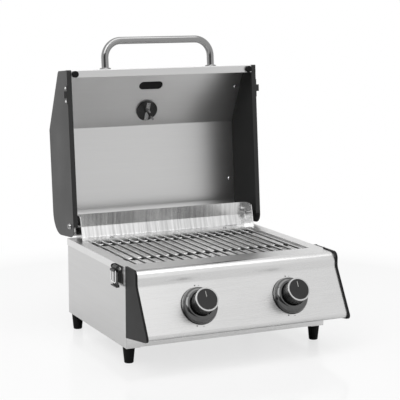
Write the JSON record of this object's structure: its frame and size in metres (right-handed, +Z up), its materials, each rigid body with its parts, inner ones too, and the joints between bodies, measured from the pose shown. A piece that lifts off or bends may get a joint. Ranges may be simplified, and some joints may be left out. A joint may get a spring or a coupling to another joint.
{
  "type": "portable tabletop grill",
  "caption": "Low stainless gas grill for a table, with a hinged lid on a tube handle, sloping control panel with round knobs, rod cooking grate, draw latches and a drip tray.",
  "frame": {"origin": "on the table, under the middle of the open grill", "axes": "+Z up, +Y away from the user, +X to the user's right, along the hinge"},
  "size_m": [0.5132, 0.6092, 0.6718],
  "materials": {
    "brushed_stainless": "brushed along the width",
    "polished_stainless": "polished",
    "liner_steel": "plain mill finish",
    "rod_steel": "drawn rod, satin",
    "screw_steel": "bright",
    "dark_paint": "satin dark grey",
    "black_plastic": "satin black",
    "face_plastic": "smooth dark grey",
    "latch_black": "satin black",
    "black_rubber": "matt",
    "brass": "plain",
    "ceramic": "glazed ceramic",
    "dial_white": "satin white",
    "needle_red": "satin red",
    "clear_glass": "clear"
  },
  "bodies": {
    "base": {"side_panel_left": "brushed_stainless", "side_panel_right": "brushed_stainless", "rear_panel": "brushed_stainless", "floor_pan": "brushed_stainless", "front_wall": "brushed_stainless", "top_deck": "brushed_stainless", "rear_guard": "polished_stainless", "firebox_liner": "liner_steel", "liner_ledges": "liner_steel", "control_panel": "brushed_stainless", "end_cap_left": "black_plastic", "end_cap_right": "black_plastic", "burners": "liner_steel", "burner_bracket": "liner_steel", "flame_tamers": "liner_steel", "gas_manifold": "brass", "gas_valves": "brass", "igniter_electrodes": "ceramic", "gas_inlet": "brass", "tray_rails": "liner_steel", "rubber_feet": "black_rubber", "foot_screws": "screw_steel", "knob_bezels": "polished_stainless", "deck_screws": "screw_steel", "latch_bases": "latch_black", "latch_pins": "screw_steel", "hinge_bolts": "polished_stainless", "hinge_nuts": "polished_stainless"},
    "grate": {"cooking_grate": "rod_steel"},
    "tray": {"drip_tray": "brushed_stainless"},
    "stem_left": {"valve_stem_left": "screw_steel"},
    "knob_left": {"knob_left": "black_plastic", "knob_ring_left": "polished_stainless", "knob_face_left": "face_plastic"},
    "stem_right": {"valve_stem_right": "screw_steel"},
    "knob_right": {"knob_right": "black_plastic", "knob_ring_right": "polished_stainless", "knob_face_right": "face_plastic"},
    "lever_left": {"latch_lever_left": "latch_black"},
    "bail_left": {"latch_bail_left": "polished_stainless"},
    "lever_right": {"latch_lever_right": "latch_black"},
    "bail_right": {"latch_bail_right": "polished_stainless"},
    "lid": {"lid_shell": "brushed_stainless", "lid_side_left": "dark_paint", "lid_side_right": "dark_paint", "lid_handle": "polished_stainless", "handle_rosettes": "polished_stainless", "handle_screws": "screw_steel", "thermometer_case": "black_plastic", "thermometer_dial": "dial_white", "thermometer_lens": "clear_glass", "thermometer_bracket": "polished_stainless", "thermometer_probe": "polished_stainless", "badge_plate": "black_plastic", "lid_bumpers": "black_rubber", "latch_keepers": "latch_black", "keeper_rivets": "polished_stainless", "lid_rivets": "polished_stainless"},
    "needle": {"thermometer_needle": "needle_red"}
  },
  "joints": [
    {"name": "lid_hinge", "type": "hinge", "parent": "base", "child": "lid", "pos_m": [0, 0.16552, 0.2424], "axis": [1, 0, 0], "range_deg": [0, 95]},
    {"name": "grate_lift", "type": "slide", "parent": "base", "child": "grate", "axis": [0, 0, 1], "range_m": [0, 0.06]},
    {"name": "tray_slide", "type": "slide", "parent": "base", "child": "tray", "axis": [0, 1, 0], "range_m": [0, 0.22]},
    {"name": "knob_left_push", "type": "slide", "parent": "base", "child": "stem_left", "axis": [0, 0.866, -0.5], "range_m": [0, 0.004], "stiffness_N_per_m": 1500, "springref_m": -0.004},
    {"name": "knob_left_turn", "type": "hinge", "parent": "stem_left", "child": "knob_left", "pos_m": [-0.1075, -0.25198, 0.13337], "axis": [0, -0.866, 0.5], "range_deg": [0, 200]},
    {"name": "knob_right_push", "type": "slide", "parent": "base", "child": "stem_right", "axis": [0, 0.866, -0.5], "range_m": [0, 0.004], "stiffness_N_per_m": 1500, "springref_m": -0.004},
    {"name": "knob_right_turn", "type": "hinge", "parent": "stem_right", "child": "knob_right", "pos_m": [0.1075, -0.25198, 0.13337], "axis": [0, -0.866, 0.5], "range_deg": [0, 200]},
    {"name": "latch_left_lever", "type": "hinge", "parent": "base", "child": "lever_left", "pos_m": [-0.2468, -0.13648, 0.206], "axis": [0, -1, 0], "range_deg": [-100, 0]},
    {"name": "latch_left_bail", "type": "hinge", "parent": "lever_left", "child": "bail_left", "pos_m": [-0.2533, -0.13648, 0.2], "axis": [0, 1, 0], "range_deg": [0, 199.9]},
    {"name": "latch_right_lever", "type": "hinge", "parent": "base", "child": "lever_right", "pos_m": [0.2468, -0.13648, 0.206], "axis": [0, 1, 0], "range_deg": [-100, 0]},
    {"name": "latch_right_bail", "type": "hinge", "parent": "lever_right", "child": "bail_right", "pos_m": [0.2533, -0.13648, 0.2], "axis": [0, -1, 0], "range_deg": [0, 199.9]},
    {"name": "needle_turn", "type": "hinge", "parent": "lid", "child": "needle", "pos_m": [0, 0.28108, 0.49205], "axis": [0, 0.9026, 0.4305], "range_deg": [-270, 0], "stiffness_Nm_per_rad": 0.002, "springref_deg": 11.46}
  ]
}
